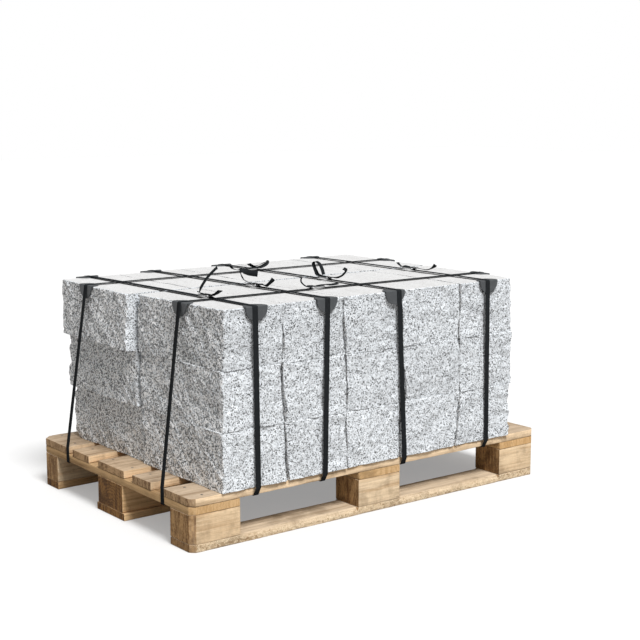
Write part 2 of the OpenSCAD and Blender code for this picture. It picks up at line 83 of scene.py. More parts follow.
FRONT_CUT = corner_cut(DECK[0], 0)
BACK_CUT = corner_cut(DECK[-1], 1)

# ---------------------------------------------------------------- seeded noise

# Large odd numbers that stir a cell's place and seed into one number
STIR_X, STIR_Y, STIR_Z, STIR_SEED = 374761393, 668265263, 1274126177, 974634777
STIR_AGAIN = 1103515245
LOW_32 = 0xFFFFFFFF
LOW_16 = 0xFFFF


def lattice(cells, seed):
    """A fixed number from 0 to 1 for each whole-number cell."""
    c = cells.astype(np.int64)
    h = c[..., 0] * STIR_X + c[..., 1] * STIR_Y + c[..., 2] * STIR_Z + seed * STIR_SEED
    h = (h ^ (h >> 13)) * STIR_AGAIN & LOW_32
    h = (h ^ (h >> 16)) * STIR_Y & LOW_32
    return (h ^ (h >> 15) & LOW_16) % (LOW_16 + 1) / LOW_16


def noise3(points, cell, seed):
    """Smooth noise from 0 to 1 at points. cell is a size in metres, or one for each axis."""
    q = points / np.asarray(cell, float)
    base = np.floor(q)
    f = q - base
    f = f * f * (3 - 2 * f)
    total = np.zeros(points.shape[:-1])
    for corner in np.ndindex(2, 2, 2):
        side = np.array(corner)
        weight = np.prod(np.where(side, f, 1 - f), axis=-1)
        total += weight * lattice(base + side, seed)
    return total


def signed(points, cell, seed):
    """Smooth noise from -1 to 1."""
    return 2 * noise3(points, cell, seed) - 1


# ---------------------------------------------------------------- meshes


def new_piece(name, points, faces, material, nodes=(), flat=()):
    """A smooth-shaded piece on the body "root". The faces numbered in flat keep their plane."""
    mesh = bpy.data.meshes.new(name)
    mesh.from_pydata([tuple(p) for p in points], [], faces)
    smooth = np.ones(len(faces), bool)
    smooth[list(flat)] = False
    mesh.polygons.foreach_set("use_smooth", smooth)
    mesh.materials.append(material)
    mesh.update()
    piece = bpy.data.objects.new(name, mesh)
    bpy.context.scene.collection.objects.link(piece)
    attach(piece, "root")
    if nodes:
        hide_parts(*nodes)
    return piece


def tube_faces(rings, count, first=0):
    """Quads between rings of count points that follow one another, and a cap on each end."""
    faces = []
    for r in range(rings - 1):
        a = first + r * count
        for i in range(count):
            j = (i + 1) % count
            faces.append((a + i, a + j, a + count + j, a + count + i))
    last = first + (rings - 1) * count
    caps = [tuple(range(first + count - 1, first - 1, -1)), tuple(range(last, last + count))]
    return faces + caps


def node_points(name):
    """The CAD node's corner points, each once, in metres."""
    co = np.array([v.co for v in frame["nodes"][name].data.vertices], float)
    return np.unique(co.round(6), axis=0)


# ---------------------------------------------------------------- kerbs

COURSES = ["lower", "middle", "upper"]
# Steps between the CAD kerb's points along its width and along its length
WIDTH_STEPS = 4
LENGTH_STEPS = 7
# Mesh steps on the stack's outer faces and on hidden ones, which are fine near their edges only
FINE = 3.0 * MM
COARSE = 22 * MM
FINE_REACH = 30 * MM
# Mesh steps up a kerb next to its sawn faces, and how far they reach
LIP = 1.2 * MM
LIP_REACH = 5 * MM

# Turns the stone's ridges to a slant across its faces
SLANT = np.array(Matrix.Rotation(math.radians(48), 3, Vector((1, 0.35, 0.1))))
# Sizes of the forms on a split face
RIDGE_CELL = [34 * MM, 120 * MM, 30 * MM]
HACKLE_CELL = [15 * MM, 60 * MM, 14 * MM]
SCALLOP_CELL = 21 * MM
ROUGH_CELL = 9.5 * MM
GRAIN_CELL = 4.5 * MM
# How deep these go, in the same order
SPLIT_DEPTHS = (4.6 * MM, 2.4 * MM, 1.8 * MM, 1.8 * MM, 1.4 * MM)
# How deep the hidden face between the two rows is, as a share of a face in the open
HIDDEN_SPLIT = 0.3
# Waves that neighbours share along their joint: size of a wave, depth, seed
JOINT_WAVES = [(30 * MM, 1.2 * MM, 7), (9 * MM, 0.5 * MM, 8)]
# Broken edges: least and most of their size, and how fast it changes along them
TOP_BREAK = (1.5 * MM, 5 * MM, 17 * MM)
FOOT_BREAK = (0, 1.2 * MM, 12 * MM)
OUTER_BREAK = (0, 13 * MM, 20 * MM)
JOINT_BREAK = (0, 4 * MM, 20 * MM)


def kerb_rings(name):
    """The kerb's CAD points as [level, steps along its width, steps along its length, xyz]."""
    points = node_points(name)
    levels = np.unique(points[:, 2].round(4))
    grid = np.full((len(levels), WIDTH_STEPS + 1, LENGTH_STEPS + 1, 3), np.nan)
    low, high = points.min(0), points.max(0)
    for k, z in enumerate(levels):
        ring = points[abs(points[:, 2] - z) < TOUCH]
        v = np.rint((ring[:, 1] - low[1]) / (high[1] - low[1]) * LENGTH_STEPS).astype(int)
        for row in range(LENGTH_STEPS + 1):
            mine = ring[v == row]
            mine = mine[np.argsort(mine[:, 0])]
            if row in (0, LENGTH_STEPS):
                grid[k, :, row] = mine
            else:
                grid[k, 0, row] = mine[0]
                grid[k, WIDTH_STEPS, row] = mine[-1]
    return grid


def spline_weights(count, at):
    """Rows of weights that read a smooth curve through count points, at places up to count - 1."""
    at = np.asarray(at, float)
    i = np.minimum(np.floor(at).astype(int), count - 2)
    t = at - i
    w = [
        (-t + 2 * t**2 - t**3) / 2,
        (2 - 5 * t**2 + 3 * t**3) / 2,
        (t + 4 * t**2 - 3 * t**3) / 2,
        (-(t**2) + t**3) / 2,
    ]
    rows = np.zeros((len(at), count))
    for j in range(4):
        np.add.at(rows, (np.arange(len(at)), np.clip(i + j - 1, 0, count - 1)), w[j])
    return rows


def spaced(length, ends, middle, reach):
    """Places from 0 to 1 along a length: steps of one size near its ends, of another between."""
    out = [0.0]
    while out[-1] < length / 2:
        out.append(out[-1] + (ends if out[-1] < reach else middle))
    half = np.array(out) / out[-1] / 2
    return np.concatenate([half, 1 - half[-2::-1]])


def split_depth(p, seed):
    """How deep a split face lies, in metres: slanting ridges, scallops and a grainy skin."""
    slanted = p @ SLANT
    ridges = abs(signed(slanted, RIDGE_CELL, seed))
    hackles = abs(signed(slanted, HACKLE_CELL, seed + 1))
    scallops = abs(signed(p, SCALLOP_CELL, seed + 2))
    rough = noise3(p, ROUGH_CELL, seed + 3)
    grain = noise3(p, GRAIN_CELL, seed + 4)
    forms = (ridges, hackles, scallops, rough, grain)
    return sum(depth * form for depth, form in zip(SPLIT_DEPTHS, forms))


def broken_corner(p, distance, form, seed):
    """How deep a face lies beside a broken corner, where the break cuts both its faces alike."""
    least, most, cell = form
    size = least + (most - least) * noise3(p, cell, seed) ** 2
    return np.maximum(0, size - distance)


def kerb_walls(grid, up, width, length, outer):
    """The kerb's four side faces as points [level, steps round the kerb, xyz]."""
    rows = spline_weights(len(grid), up * (len(grid) - 1))
    walls = []
    for side, points, steps, size in [
        ("near", grid[:, :, 0], WIDTH_STEPS, width),
        ("right", grid[:, WIDTH_STEPS], LENGTH_STEPS, length),
        ("far", grid[:, ::-1, LENGTH_STEPS], WIDTH_STEPS, width),
        ("left", grid[:, 0, ::-1], LENGTH_STEPS, length),
    ]:
        at = spaced(size, FINE, FINE if outer[side] else COARSE, FINE_REACH)[:-1]
        columns = spline_weights(steps + 1, at * steps)
        walls.append(np.einsum("rk,kpc,sp->rsc", rows, points, columns))
    return np.concatenate(walls, axis=1)


def share_across(values):
    """How far each value lies between the lowest and the highest on its level."""
    return (values - values.min(1, keepdims=True)) / np.ptp(values, axis=1)[:, None]


def kerb(name, material):
    """A kerb with sawn faces above and below, four split faces and joints shared with others."""
    course, row, number = name.split("_")[1:]
    seed = 100 * (3 * COURSES.index(course) + 1) + 10 * int(number) + 5 * (row == "back")
    outer = {
        "left": number == "1",
        "right": number == "5",
        "near": row == "front",
        "far": row == "back",
    }
    grid = kerb_rings(name)
    width = np.ptp(grid[0, :, 0, 0])
    length = np.ptp(grid[0, 0, :, 1])
    height = np.ptp(grid[:, 0, 0, 2])
    up = spaced(height, LIP, FINE, LIP_REACH)
    p = kerb_walls(grid, up, width, length, outer)
    u, v = share_across(p[..., 0]), share_across(p[..., 1])

    shared = sum(signed(p, cell, wave_seed) * depth for cell, depth, wave_seed in JOINT_WAVES)
    near = split_depth(p, seed)
    away = split_depth(p, seed + 5)
    level_break = broken_corner(p, height * (1 - up)[:, None], TOP_BREAK, seed + 6)
    level_break += broken_corner(p, height * up[:, None], FOOT_BREAK, seed + 7)
    left_form = OUTER_BREAK if outer["left"] else JOINT_BREAK
    right_form = OUTER_BREAK if outer["right"] else JOINT_BREAK
    along_break = broken_corner(p, width * u, left_form, seed + 8)
    along_break += broken_corner(p, width * (1 - u), right_form, seed + 8)
    across_break = broken_corner(p, length * np.minimum(v, 1 - v), OUTER_BREAK, seed + 8)
    left_move = near + level_break + across_break if outer["left"] else shared
    right_move = -away - level_break - across_break if outer["right"] else shared
    near_move = near + level_break + along_break if outer["near"] else HIDDEN_SPLIT * near
    far_move = -away - level_break - along_break if outer["far"] else -HIDDEN_SPLIT * away
    p[..., 0] += left_move * (1 - u) + right_move * u
    p[..., 1] += near_move * (1 - v) + far_move * v

    faces = tube_faces(p.shape[0], p.shape[1])
    new_piece(
        name.replace("kerb", "granite_kerb"), p.reshape(-1, 3), faces, material,
        [name], flat=[len(faces) - 2, len(faces) - 1],
    )


# ---------------------------------------------------------------- timber

# Ways along the sides of a section, from its lower left corner round
WAYS = np.array([[1, 0], [0, 1], [-1, 0], [0, -1]], float)
# A plank has at least this many stretches between its sections
LEAST_STRETCHES = 6
# A plank's end section is smaller than the next one, which lies this far in
END_ROUND = 1.0 * MM
END_SHRINK = 0.7 * END_ROUND
# Sections this far before and after the place where a corner cut starts keep it crisp
CRISP = 1.2 * MM
# Worn edges: the least of their size, and what it gains slowly and quickly along the grain
WORN_LEAST = 0.6 * MM
WORN_SLOW, WORN_SLOW_CELL = 2.16 * MM, [45 * MM, 1, 1]
WORN_QUICK, WORN_QUICK_CELL = 0.72 * MM, [11 * MM, 1, 1]
# The bevel along a bottom board's upper edges, between its blocks
BOTTOM_BEVEL = 10 * MM
# How far in the middle of a rounded and of a bevelled edge lies, as a share of its size
ROUNDED = 0.3
BEVELLED = 0.5
# Sawn sides: sizes and depths of their waves, and how far in they lie
SAWN_WAVES = [(60 * MM, 0.35 * MM), (9 * MM, 0.2 * MM)]
SAWN_IN = 0.4 * MM
# Points this close to the plank's box belong to its sides
SIDE_BAND = 3 * MM
# Torn fibres on a front edge: sizes and depth of the pits, the least noise that makes one, and
# how far in from the edge they reach
TORN_CELL = [7 * MM, 9 * MM, 5 * MM]
TORN_DEPTH = 1.6 * MM
TORN_FROM = 0.3
TORN_BAND = 4 * MM


def between_blocks(x):
    """True in the stretches of a bottom board between its blocks."""
    spans = zip(BLOCK_SPANS, BLOCK_SPANS[1:])
    inside = [(x > left[1]) & (x < right[0]) for left, right in spans]
    return inside[0] | inside[1]


def plank_stations(start, end, axis, spacing):
    """Places along a plank for its sections, corner cuts and rounded ends among them."""
    along = np.linspace(start, end, max(LEAST_STRETCHES, round((end - start) / spacing)) + 1)
    cuts = [side * (PALLET_HALF[axis] - cut) for side in (-1, 1) for cut in (FRONT_CUT, BACK_CUT)]
    cuts = [cut + crisp for cut in cuts for crisp in (-CRISP, 0, CRISP)]
    ends = [start + END_ROUND, end - END_ROUND]
    along = np.unique(np.concatenate([along, cuts, ends]))
    return along[(along >= start) & (along <= end)]


def room_to_cut(along, axis, side):
    """How far sections may reach from the pallet's middle on one side, past its cut corners."""
    back = along > 0 if axis == 1 else side > 0
    cut = np.where(back, BACK_CUT, FRONT_CUT) - (PALLET_HALF[axis] - abs(along))
    return PALLET_HALF[1 - axis] - np.maximum(0, cut)


def worn_edges(along, seed, bevelled):
    """The size of each of the four long edges at every section, and how far in its middle lies."""
    sizes, insets = [], []
    for i in range(4):
        where = np.stack([along, along * 0 + i, along * 0], axis=1)
        slow = noise3(where, WORN_SLOW_CELL, seed)
        quick = noise3(where, WORN_QUICK_CELL, seed + 1)
        size = WORN_LEAST + WORN_SLOW * slow**2 + WORN_QUICK * quick
        inset = np.full(len(along), ROUNDED)
        if bevelled and i >= 2:
            size = np.where(between_blocks(along), BOTTOM_BEVEL, size)
            inset = np.where(between_blocks(along), BEVELLED, inset)
        sizes.append(size[:, None])
        insets.append(inset[:, None])
    return sizes, insets


def section_points(corners, sizes, insets, steps):
    """Points round every section: each worn corner, then the side that follows it."""
    points = []
    for i in range(4):
        following = (i + 1) % 4
        back, ahead, corner = -WAYS[i - 1], WAYS[i], corners[i]
        points += [corner + back * sizes[i], corner + insets[i] * sizes[i] * (back + ahead)]
        first = corner + ahead * sizes[i]
        last = corners[following] - ahead * sizes[following]
        points += [first + (last - first) * s / steps[i % 2] for s in range(steps[i % 2])]
    return np.array(points).transpose(1, 0, 2)


def plank(name, axis, material, spacing=8 * MM, across=20 * MM, bevelled=False, torn=False):
    """A rough board or block: sections along its grain, each with its own worn corners."""
    low, high = (np.array(corner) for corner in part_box(name))
    cross = 1 - axis
    seed = 1000 + sum(ord(c) * (i + 3) for i, c in enumerate(name))
    along = plank_stations(low[axis], high[axis], axis, spacing)
    shrink = np.where((along == along[0]) | (along == along[-1]), END_SHRINK, 0)
    left = np.maximum(low[cross], -room_to_cut(along, axis, -1)) + shrink
    right = np.minimum(high[cross], room_to_cut(along, axis, 1)) - shrink
    under, over = low[2] + shrink, high[2] - shrink
    corners = np.array([[left, under], [right, under], [right, over], [left, over]])
    steps = [max(1, round((high[i] - low[i]) / across)) for i in (cross, 2)]
    sizes, insets = worn_edges(along, seed, bevelled)
    flat = section_points(corners.transpose(0, 2, 1), sizes, insets, steps)
    rings = np.empty(flat.shape[:2] + (3,))
    rings[..., cross] = flat[..., 0]
    rings[..., 2] = flat[..., 1]
    rings[..., axis] = along[:, None]

    waves = enumerate(SAWN_WAVES, seed + 2)
    rough = sum(signed(rings, cell, wave_seed) * depth for wave_seed, (cell, depth) in waves)
    from_middle = rings - (low + high) / 2
    on_side = abs(from_middle) > (high - low) / 2 - SIDE_BAND
    on_side[..., axis] = False
    rings += np.sign(from_middle) * on_side * (rough - SAWN_IN)[..., None]
    if torn:
        pits = np.clip(noise3(rings, TORN_CELL, seed + 4) - TORN_FROM, 0, 1) * TORN_DEPTH
        edge = np.clip((low[cross] + TORN_BAND - rings[..., cross]) / TORN_BAND, 0, 1)
        rings[..., cross] += pits * edge
    faces = tube_faces(len(rings), rings.shape[1])
    new_piece(
        name.replace("board", "plank").replace("block", "timber_block"),
        rings.reshape(-1, 3), faces, material, [name],
        flat=[len(faces) - 2, len(faces) - 1],
    )


NAIL_RADIUS = 3.6 * MM
NAIL_SIDES = 14
# Rings of a nail head from its foot to its middle: share of its radius, height
NAIL_RINGS = [(1.0, -1.5 * MM), (1.0, -0.5 * MM), (0.88, -0.15 * MM), (0.4, 0.0)]
# A deck board wider than this has three nails at each stringer board, and others two
WIDE_BOARD = 120 * MM
# Places of the nails, in turn, as a share of the stringer board's width
NAIL_LINES = (0.3, 0.7)
# How far a nail may be off its place along X and along Y, both ways together
NAIL_STRAY = (14 * MM, 12 * MM)
NAIL_SEED = 31


def add_nail(points, faces, x, y, z):
    """One nail head, driven a little below the surface round it."""
    first = len(points)
    for share, rise in NAIL_RINGS:
        reach = NAIL_RADIUS * share
        for i in range(NAIL_SIDES):
            angle = 2 * math.pi * i / NAIL_SIDES
            points.append((x + reach * math.cos(angle), y + reach * math.sin(angle), z + rise))
    faces.extend(tube_faces(len(NAIL_RINGS), NAIL_SIDES, first))


def nail_heads(material):
    """Round nail heads in the deck, two or three wherever a deck board crosses a stringer board."""
    points, faces = [], []
    for b, board in enumerate(DECK):
        low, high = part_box(board)
        count = 3 if high[1] - low[1] > WIDE_BOARD else 2
        for s, stringer in enumerate(STRINGERS):
            left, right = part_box(stringer)
            for n in range(count):
                stray = lattice(np.array([[b, s, n], [n, b, s]]), NAIL_SEED) - 0.5
                line = NAIL_LINES[(n + b) % 2]
                share = (n + 0.5) / count
                x = left[0] + (right[0] - left[0]) * line + stray[0] * NAIL_STRAY[0]
                y = low[1] + (high[1] - low[1]) * share + stray[1] * NAIL_STRAY[1]
                add_nail(points, faces, x, y, high[2])
    new_piece("nail_heads", points, faces, material)


# ---------------------------------------------------------------- straps

STRAP_WIDTH = 16 * MM
# Two points of an end ring are no further apart than this
RING_REACH = STRAP_WIDTH * 1.03
# A longer run between two CAD sections is straight, and a shorter one belongs to a bend
LONG_RUN = 18 * MM
BEND_STEPS = 4
# The most of a strap that is loose at an end. Its turn starts this far above the stones, and is
# whole when it has risen this much further
TAIL = 150 * MM
TAIL_LIFT = STRAP_WIDTH / 4
TAIL_RISE = STRAP_WIDTH / 2
# Degrees that each loose tail is turned about its own line, at its fold and at its free end, for
# the strap's first tail and its last
TAIL_TURNS = {
    "cross_strap_1": ((12, 16), (14, 18)),
    "cross_strap_2": ((14, 22), (26, 0)),
    "cross_strap_3": ((6, 20), (0, 0)),
    "cross_strap_4": ((0, 6), (-10, -10)),
    "long_strap_1": ((10, 12), (0, 0)),
    "long_strap_2": ((0, 0), (14, 18)),
}
# Points round a strap's section: share of its half width, share of its half thickness
RIBBON_SECTION = [
    (-0.97, -1), (0.97, -1), (1, -0.5), (1, 0.5), (0.97, 1), (-0.97, 1), (-1, 0.5), (-1, -0.5),
]


def strap_rings(name):
    """The CAD strap's rings of four corners in order from one tail to the other."""
    mesh = frame["nodes"][name].data
    co = np.array([v.co for v in mesh.vertices], float).round(6)
    unique, index = np.unique(co, axis=0, return_inverse=True)
    index = index.reshape(-1)
    mesh.calc_loop_triangles()
    triangles = [tuple(index[v] for v in t.vertices) for t in mesh.loop_triangles]
    near = [set() for _ in unique]
    for t in triangles:
        for v in t:
            near[v] |= set(t) - {v}
    for start in triangles:
        rings = rings_from(start, near, unique)
        if rings is not None:
            return unique[np.array(rings)]
    raise ValueError(f"{name} is not a ribbon")


def rings_from(start, near, unique):
    """Rings of four corners that follow an end's triangle, or None if it isn't at an end."""
    ring = set(start)
    gaps = [np.linalg.norm(unique[a] - unique[b]) for a in start for b in start]
    if max(gaps) > RING_REACH:
        return None
    beside = set.union(*(near[v] for v in start)) - ring
    for extra in [v for v in beside if len(near[v] & ring) >= 2]:
        seen = ring | {extra}
        rings = [sorted(seen)]
        while True:
            following = set.union(*(near[v] for v in rings[-1])) - seen
            if not following:
                break
            if len(following) != 4:
                rings = None
                break
            rings.append(sorted(following))
            seen |= following
        if rings and 4 * len(rings) == len(unique):
            return rings
    return None


def strap_line(name):
    """The strap's middle line, its width from edge to edge and its half thickness."""
    middles, widths, halves = [], [], []
    for ring in strap_rings(name):
        partner = min(range(1, 4), key=lambda j: np.linalg.norm(ring[j] - ring[0]))
        others = [j for j in range(1, 4) if j != partner]
        edges = [(ring[0] + ring[partner]) / 2, (ring[others[0]] + ring[others[1]]) / 2]
        width = edges[1] - edges[0]
        if widths and width @ widths[-1] < 0:
            width = -width
        middles.append((edges[0] + edges[1]) / 2)
        widths.append(width)
        halves.append(np.linalg.norm(ring[partner] - ring[0]) / 2)
    return np.array(middles), np.array(widths), min(halves)


def run_along(line):
    """The length of a line up to each of its points."""
    return np.concatenate([[0], np.cumsum(np.linalg.norm(np.diff(line, axis=0), axis=1))])


def tail_turn(name, line):
    """The angle a strap is turned about its line, point by point: none but in its loose tails."""
    run = run_along(line)
    rise = np.clip((line[:, 2] - STACK_TOP - TAIL_LIFT) / TAIL_RISE, 0, 1)
    total = np.zeros(len(line))
    for from_end, (at_fold, at_end) in zip([run, run[-1] - run], TAIL_TURNS[name]):
        loose = (from_end < TAIL) & (rise > 0)
        if loose.any():
            share = from_end / from_end[loose].max()
            total += np.where(loose, rise * (at_end + (at_fold - at_end) * share), 0)
    return np.radians(total)


def bend_tangents(middles, lengths):
    """The strap's way at each CAD section, in line with a straight run that meets it."""
    ways = np.diff(middles, axis=0) / lengths[:, None]
    tangents = []
    for i in range(len(middles)):
        before, after = max(i - 1, 0), min(i, len(ways) - 1)
        longest = max(before, after, key=lambda j: lengths[j])
        way = ways[longest] if lengths[longest] > LONG_RUN else ways[before] + ways[after]
        tangents.append(way / np.linalg.norm(way))
    return tangents


def rounded_strap(middles, widths):
    """The strap's middle line and width through its CAD sections, with its bends rounded."""
    lengths = np.linalg.norm(np.diff(middles, axis=0), axis=1)
    tangents = bend_tangents(middles, lengths)
    line, across = [middles[0]], [widths[0]]
    for i, length in enumerate(lengths):
        steps = 1 if length > LONG_RUN else BEND_STEPS
        for s in range(1, steps + 1):
            t = s / steps
            start, end = 2 * t**3 - 3 * t**2 + 1, 3 * t**2 - 2 * t**3
            leave, arrive = t**3 - 2 * t**2 + t, t**3 - t**2
            line.append(
                start * middles[i] + leave * length * tangents[i]
                + end * middles[i + 1] + arrive * length * tangents[i + 1]
            )
            across.append((1 - t) * widths[i] + t * widths[i + 1])
    return np.array(line), np.array(across)


def strap(name, material):
    """A woven strap on the CAD strap's line, its bends rounded and its edges thin."""
    middles, widths, half = strap_line(name)
    line, across = rounded_strap(middles, widths)
    way = np.gradient(line, axis=0)
    way /= np.linalg.norm(way, axis=1)[:, None]
    across -= (across * way).sum(1)[:, None] * way
    across *= (STRAP_WIDTH / 2 / np.linalg.norm(across, axis=1))[:, None]
    turn = tail_turn(name, line)[:, None]
    across = across * np.cos(turn) + np.cross(way, across) * np.sin(turn)
    top = node_points(name)[:, 2].max()
    line[:, 2] = np.minimum(line[:, 2], top - half - abs(across[:, 2]))
    up = np.cross(way, across)
    up *= (half / np.linalg.norm(up, axis=1))[:, None]
    points = [c + a * w + b * u for c, w, u in zip(line, across, up) for a, b in RIBBON_SECTION]
    piece = new_piece(
        name.replace("strap", "woven_strap"), points,
        tube_faces(len(line), len(RIBBON_SECTION)), material, [name],
    )
    add_attribute(piece, "run", np.repeat(run_along(line), len(RIBBON_SECTION)))
    place = np.tile([a for a, b in RIBBON_SECTION], len(line)) * STRAP_WIDTH / 2
    add_attribute(piece, "across", place)


def add_attribute(piece, name, values):
    """A number for each point of a piece, for its material to read."""
    attribute = piece.data.attributes.new(name, "FLOAT", "POINT")
    attribute.data.foreach_set("value", np.asarray(values, np.float32))


# ---------------------------------------------------------------- materials


class Nodes:
    """A node tree, built one node at a time."""

    def __init__(self, tree):
        self.tree = tree

    def add(self, kind, settings=None, **inputs):
        """A new node. Its inputs go by name, with _ for a space, or as in_0, in_1 by number."""
        node = self.tree.nodes.new(kind)
        for key, value in (settings or {}).items():
            setattr(node, key, value)
        for key, value in inputs.items():
            numbered = key.startswith("in_")
            self.put(node.inputs[int(key[3:]) if numbered else key.replace("_", " ")], value)
        return node

    def put(self, socket, value):
        """Set a socket to a value, or link another node's output to it."""
        if isinstance(value, bpy.types.NodeSocket):
            self.tree.links.new(value, socket)
        else:
            socket.default_value = value

    def math(self, operation, a, b=0.0):
        """A number worked out from one or two others."""
        return self.add("ShaderNodeMath", {"operation": operation}, in_0=a, in_1=b).outputs[0]

    def times(self, a, b):
        return self.math("MULTIPLY", a, b)

    def rest(self, value):
        """1 less a value."""
        return self.math("SUBTRACT", 1.0, value)

    def step(self, value, low, high):
        """0 below low, 1 above high, smooth between."""
        smooth = {"interpolation_type": "SMOOTHSTEP"}
        return self.add("ShaderNodeMapRange", smooth, in_0=value, in_1=low, in_2=high).outputs[0]

    def between(self, value, low, high):
        """low where the value is 0, high where it is 1."""
        return self.add("ShaderNodeMapRange", in_0=value, in_3=low, in_4=high).outputs[0]

    def mix(self, share, a, b, blend="MIX"):
        """Colour a where the share is 0, and b, or a blended with b, where it is 1."""
        node = self.add("ShaderNodeMix", {"data_type": "RGBA", "blend_type": blend})
        self.put(node.inputs[0], share)
        self.put(node.inputs[6], a)
        self.put(node.inputs[7], b)
        return node.outputs[2]

    def ramp(self, value, stops):
        """A colour ramp through (place, colour) stops."""
        node = self.add("ShaderNodeValToRGB", Fac=value)
        elements = node.color_ramp.elements
        while len(elements) < len(stops):
            elements.new(1.0)
        for element, (place, colour) in zip(elements, stops):
            element.position = place
            element.color = colour
        return node.outputs[0]

    def noise(self, place, scale, detail, roughness=0.5, distortion=0.0):
        """Smooth noise from 0 to 1. scale is its waves to a metre."""
        return self.add(
            "ShaderNodeTexNoise", Vector=place, Scale=scale, Detail=detail,
            Roughness=roughness, Distortion=distortion,
        ).outputs[0]

    def cells(self, place, size):
        """A fixed number from 0 to 1 for each cell of a size in metres."""
        node = self.add("ShaderNodeTexVoronoi", Vector=place, Scale=1 / size)
        return self.add("ShaderNodeSeparateColor", Color=node.outputs["Color"]).outputs[0]

    def scaled(self, place, x, y, z):
        """A place times a factor for each axis: a pattern read there is longer for less than 1."""
        multiply = {"operation": "MULTIPLY"}
        return self.add("ShaderNodeVectorMath", multiply, in_0=place, in_1=(x, y, z)).outputs[0]

    def facing(self, axis):
        """How squarely the surface faces along an axis, from 0 to 1."""
        normal = self.add("ShaderNodeNewGeometry").outputs["True Normal"]
        parts = self.add("ShaderNodeSeparateXYZ", Vector=normal)
        return self.math("ABSOLUTE", parts.outputs[axis])

    def bump(self, height, distance, strength):
        """The normal of a surface raised by a height from 0 to 1 times a distance."""
        bump = self.add("ShaderNodeBump", Height=height, Distance=distance, Strength=strength)
        return bump.outputs[0]


# How far an object's own chance may move its pattern, in metres
PATTERN_SPREAD = 37.0


class Look(Nodes):
    """A material, made by its nodes."""

    def __init__(self, name):
        self.material = bpy.data.materials.new(name)
        self.material.use_nodes = True
        super().__init__(self.material.node_tree)
        self.place = self.add("ShaderNodeTexCoord").outputs["Object"]

    def own_place(self):
        """The place moved by each object's own chance, so that no two share a pattern."""
        chance = self.add("ShaderNodeObjectInfo").outputs["Random"]
        aside = self.times(chance, PATTERN_SPREAD)
        offset = self.add("ShaderNodeCombineXYZ", X=aside, Y=chance, Z=chance).outputs[0]
        return self.add("ShaderNodeVectorMath", in_0=self.place, in_1=offset).outputs[0], chance

    def finish(self, **inputs):
        """The material, once the shader's inputs are set, by name with _ for a space."""
        shader = self.tree.nodes["Principled BSDF"]
        for key, value in inputs.items():
            self.put(shader.inputs[key.replace("_", " ")], value)
        return self.material


def grey(value, blue=0.0):
    """A grey that is bluish by a share, or yellowish where it is below 0."""
    return (value, value * (1 + blue / 2), value * (1 + blue), 1)


def shade(colour, factor):
    """A colour made lighter or darker."""
    return tuple(c * factor for c in colour[:3]) + (1,)


# Sizes of the granite's mineral grains, its black flecks, and the coarse flecks on its faces along
# X, which are painted shade and painted highlights
MINERAL = 2.7 * MM
FLECK = 2.0 * MM
RELIEF_SHADE_FLECK = 3.5 * MM
MINERAL_TONES = [
    (0.00, grey(0.06)), (0.09, grey(0.16, 0.05)), (0.18, grey(0.44, 0.10)),
    (0.32, grey(0.72, 0.10)), (0.50, grey(0.84, 0.10)), (0.75, grey(0.90, 0.09)),
    (1.00, grey(0.94, 0.06)),
]


def granite():
    """Pale grey granite: feldspar, quartz and black mica, dusty where sawn, with painted shade and
    highlights in coarse flecks on its faces along X.
    """
    look = Look("granite")
    place, chance = look.own_place()
    grains = look.cells(place, MINERAL)
    flecks = look.step(look.cells(place, FLECK), 0.88, 0.91)
    colour = look.mix(look.times(flecks, 0.6), look.ramp(grains, MINERAL_TONES), grey(0.12))
    # Faces along X get coarse dark flecks and white flecks. The dark ones are painted shade
    # standing in for micro-shadows in the split relief, and the white ones are painted highlights
    # on that relief.
    split = look.step(look.facing(0), 0.6, 0.9)
    relief_shade_cells = look.cells(place, RELIEF_SHADE_FLECK)
    pits = look.times(split, look.rest(look.step(relief_shade_cells, 0.28, 0.33)))
    chips = look.times(split, look.step(relief_shade_cells, 0.62, 0.67))
    # Lay the painted shade (pits) and then the painted highlights (chips) on the colour.
    colour = look.mix(look.times(pits, 0.8), colour, grey(0.09))
    colour = look.mix(chips, colour, grey(1.0))
    cloud = look.ramp(look.noise(place, 16.0, detail=3.0), [(0.3, grey(0.88)), (0.7, grey(1.0))])
    colour = look.mix(0.6, colour, cloud, "MULTIPLY")
    tone = look.ramp(chance, [(0.0, grey(0.92)), (1.0, grey(1.02))])
    colour = look.mix(1.0, colour, tone, "MULTIPLY")
    sawn = look.step(look.facing(2), 0.93, 0.985)
    streaks = look.noise(look.scaled(place, 1.0, 0.12, 1.0), 60.0, detail=4.0, roughness=0.6)
    dust = look.ramp(streaks, [(0.3, grey(0.60, -0.03)), (0.7, grey(0.69, -0.02))])
    colour = look.mix(look.times(sawn, 0.78), colour, dust)
    rough = look.noise(place, 240.0, detail=4.0, roughness=0.65)
    height = look.math("ADD", rough, look.times(grains, 0.4))
    height = look.times(height, look.rest(look.times(sawn, 0.9)))
    return look.finish(
        Base_Color=colour, Roughness=0.8, Normal=look.bump(height, 1.7 * MM, 1.0),
        Specular_IOR_Level=0.3,
    )


KNOT_COLOUR = (0.20, 0.10, 0.045, 1)
# Torn fibres: the colour of their pits and of the fresh wood beside them
PIT_COLOUR = (0.22, 0.12, 0.05, 1)
FRESH_COLOUR = (0.82, 0.68, 0.48, 1)
# What a board's own chance makes of its colour
WOOD_TONES = [(0.0, (0.86, 0.83, 0.80, 1)), (0.5, grey(1.0)), (1.0, (0.97, 0.91, 0.83, 1))]


